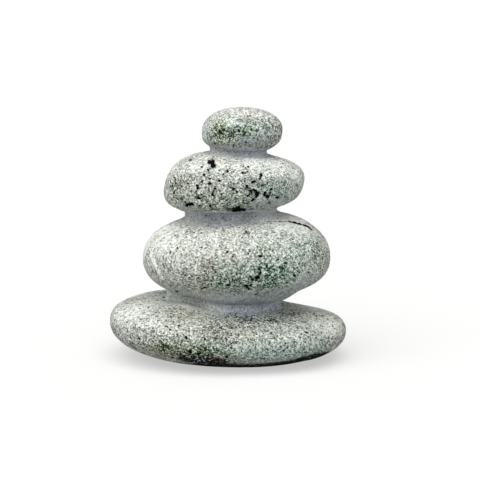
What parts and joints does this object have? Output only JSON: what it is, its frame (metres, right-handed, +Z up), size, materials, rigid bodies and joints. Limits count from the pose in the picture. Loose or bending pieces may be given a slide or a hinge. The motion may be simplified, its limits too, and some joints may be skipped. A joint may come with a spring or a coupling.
{
  "type": "stone cairn",
  "caption": "Garden cairn of flattened granite pebbles stacked from large to small, bonded by beds of mortar, with a flat underside to stand on.",
  "frame": {"origin": "on the ground, under the middle of the base stone's outline", "axes": "+Z up the stack; +X along the stones' long side, towards the end that the top stone leans to; -Y is the front"},
  "size_m": [0.2388, 0.2056, 0.2524],
  "materials": {
    "base_granite": "weathered speckled granite, grey with pale and black grains and green patches low down",
    "second_granite": "weathered speckled granite, pale grey with black grains and a green patch low on the front",
    "third_granite": "weathered speckled granite, pale grey with many small black pits",
    "top_granite": "weathered speckled granite, greenish grey below and pale on top",
    "mortar": "smooth cement mortar, lilac grey"
  },
  "bodies": {
    "root": {"base_stone": "base_granite", "lower_mortar_bed": "mortar", "second_stone": "second_granite", "middle_mortar_bed": "mortar", "third_stone": "third_granite", "upper_mortar_bed": "mortar", "top_stone": "top_granite"}
  },
  "joints": []
}
